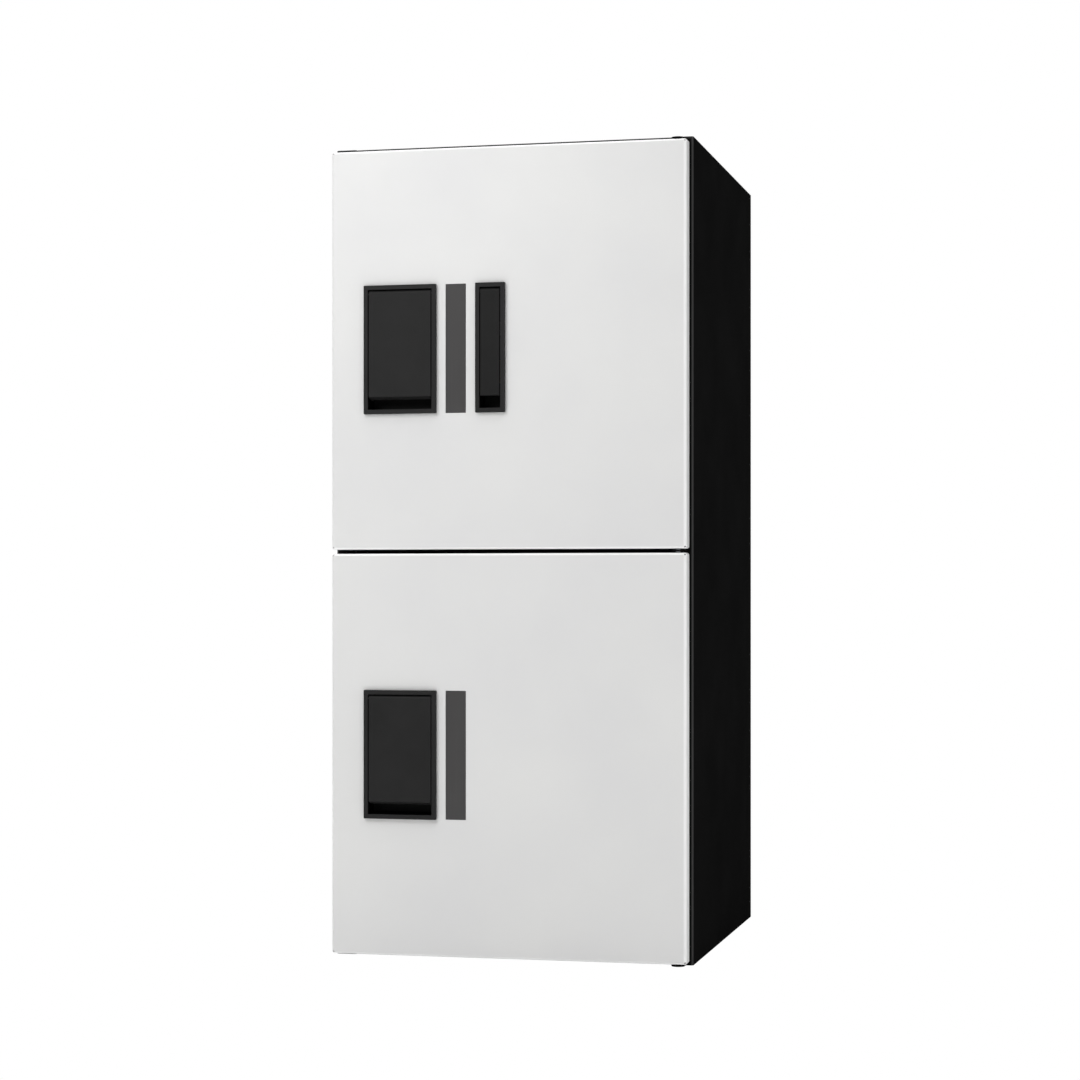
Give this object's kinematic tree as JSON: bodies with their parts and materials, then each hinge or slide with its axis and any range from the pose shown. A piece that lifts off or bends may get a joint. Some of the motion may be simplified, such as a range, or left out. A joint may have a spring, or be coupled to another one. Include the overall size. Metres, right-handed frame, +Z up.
{
  "type": "parcel locker",
  "caption": "Steel parcel locker with stacked hinged doors, each with a recessed pull handle, a status window and a motor lock inside.",
  "frame": {"origin": "centre of the footprint, on the face that the locker stands on", "axes": "+Z up, the doors face -Y, +X to the right as seen from in front"},
  "size_m": [0.45, 0.505, 1],
  "materials": {
    "case_coat": "fine-textured black powder coat",
    "door_coat": "smooth white powder coat",
    "inner_coat": "fine-textured black powder coat",
    "handle_plastic": "fine spark-eroded texture",
    "paddle_plastic": "fine spark-eroded texture",
    "smoked_acrylic": "smoked, back-printed acrylic with a soft sheen",
    "cover_plastic": "moulded, lightly textured",
    "rubber": "closed-cell foam seal",
    "zinc_steel": "bright zinc plate",
    "spring_steel": "ground steel",
    "brass": "turned brass",
    "nylon": "moulded nylon",
    "circuit_board": "green solder mask",
    "magnet_holder": "moulded",
    "cell_wrap": "printed film"
  },
  "bodies": {
    "case": {"left_side_panel": "case_coat", "right_side_panel": "case_coat", "top_panel": "case_coat", "bottom_panel": "case_coat", "middle_shelf": "case_coat", "back_panel": "case_coat", "floor_tray": "case_coat", "top_hinge_bracket": "case_coat", "middle_hinge_bracket": "case_coat", "bottom_hinge_bracket": "case_coat", "top_hinge_pin": "spring_steel", "middle_hinge_pin": "spring_steel", "bottom_hinge_pin": "spring_steel", "upper_strike_plate": "zinc_steel", "lower_strike_plate": "zinc_steel", "upper_catch_magnet": "magnet_holder", "lower_catch_magnet": "magnet_holder"},
    "upper_door": {"upper_door_skin": "door_coat", "upper_inner_panel": "inner_coat", "upper_door_seal": "rubber", "upper_handle_housing": "handle_plastic", "upper_paddle_pin": "spring_steel", "upper_paddle_spring": "spring_steel", "upper_status_window": "smoked_acrylic", "upper_control_board": "circuit_board", "upper_lock_case": "zinc_steel", "upper_lock_motor": "spring_steel", "upper_battery_pack": "cell_wrap", "upper_mechanism_cover": "cover_plastic", "upper_battery_lid": "cover_plastic", "upper_hinge_bush_top": "nylon", "upper_hinge_bush_bottom": "nylon", "service_housing": "handle_plastic", "service_flap_pin": "spring_steel", "key_cylinder": "zinc_steel", "power_contacts": "brass"},
    "upper_handle_paddle": {"upper_handle_paddle": "paddle_plastic"},
    "upper_lock_bolt": {"upper_lock_bolt": "zinc_steel"},
    "upper_lock_pinion": {"upper_lock_pinion": "brass"},
    "service_flap": {"service_flap": "paddle_plastic"},
    "key_plug": {"key_plug": "brass"},
    "lower_door": {"lower_door_skin": "door_coat", "lower_inner_panel": "inner_coat", "lower_door_seal": "rubber", "lower_handle_housing": "handle_plastic", "lower_paddle_pin": "spring_steel", "lower_paddle_spring": "spring_steel", "lower_status_window": "smoked_acrylic", "lower_control_board": "circuit_board", "lower_lock_case": "zinc_steel", "lower_lock_motor": "spring_steel", "lower_battery_pack": "cell_wrap", "lower_mechanism_cover": "cover_plastic", "lower_battery_lid": "cover_plastic", "lower_hinge_bush_top": "nylon", "lower_hinge_bush_bottom": "nylon"},
    "lower_handle_paddle": {"lower_handle_paddle": "paddle_plastic"},
    "lower_lock_bolt": {"lower_lock_bolt": "zinc_steel"},
    "lower_lock_pinion": {"lower_lock_pinion": "brass"}
  },
  "joints": [
    {"name": "upper_door_hinge", "type": "hinge", "parent": "case", "child": "upper_door", "pos_m": [0.21, -0.2385, 0.74775], "axis": [0, 0, 1], "range_deg": [0, 110]},
    {"name": "upper_paddle_hinge", "type": "hinge", "parent": "upper_door", "child": "upper_handle_paddle", "pos_m": [-0.1337, -0.248, 0.81645], "axis": [-1, 0, 0], "range_deg": [0, 30], "stiffness_Nm_per_rad": 0.12, "springref_deg": -28.65, "deforming": ["upper_paddle_spring"]},
    {"name": "upper_lock_bolt_slide", "type": "slide", "parent": "upper_door", "child": "upper_lock_bolt", "axis": [-1, 0, 0], "range_m": [0, 0.014]},
    {"name": "upper_lock_pinion_spin", "type": "hinge", "parent": "upper_door", "child": "upper_lock_pinion", "pos_m": [-0.165, -0.1982, 0.74775], "axis": [0, 0, -1], "range_deg": [0, 134]},
    {"name": "service_flap_hinge", "type": "hinge", "parent": "upper_door", "child": "service_flap", "pos_m": [-0.0197, -0.248, 0.81645], "axis": [-1, 0, 0], "range_deg": [0, 85]},
    {"name": "key_turn", "type": "hinge", "parent": "upper_door", "child": "key_plug", "pos_m": [-0.0197, -0.2375, 0.77275], "axis": [0, 1, 0], "range_deg": [0, 90]},
    {"name": "lower_door_hinge", "type": "hinge", "parent": "case", "child": "lower_door", "pos_m": [0.21, -0.2385, 0.251], "axis": [0, 0, 1], "range_deg": [0, 110]},
    {"name": "lower_paddle_hinge", "type": "hinge", "parent": "lower_door", "child": "lower_handle_paddle", "pos_m": [-0.1337, -0.248, 0.3197], "axis": [-1, 0, 0], "range_deg": [0, 30], "stiffness_Nm_per_rad": 0.12, "springref_deg": -28.65, "deforming": ["lower_paddle_spring"]},
    {"name": "lower_lock_bolt_slide", "type": "slide", "parent": "lower_door", "child": "lower_lock_bolt", "axis": [-1, 0, 0], "range_m": [0, 0.014]},
    {"name": "lower_lock_pinion_spin", "type": "hinge", "parent": "lower_door", "child": "lower_lock_pinion", "pos_m": [-0.165, -0.1982, 0.251], "axis": [0, 0, -1], "range_deg": [0, 134]}
  ],
  "couplings": [
    {"joint": "upper_lock_pinion_spin", "follows": "upper_lock_bolt_slide", "rad_per_m": 166.67},
    {"joint": "lower_lock_pinion_spin", "follows": "lower_lock_bolt_slide", "rad_per_m": 166.67}
  ]
}
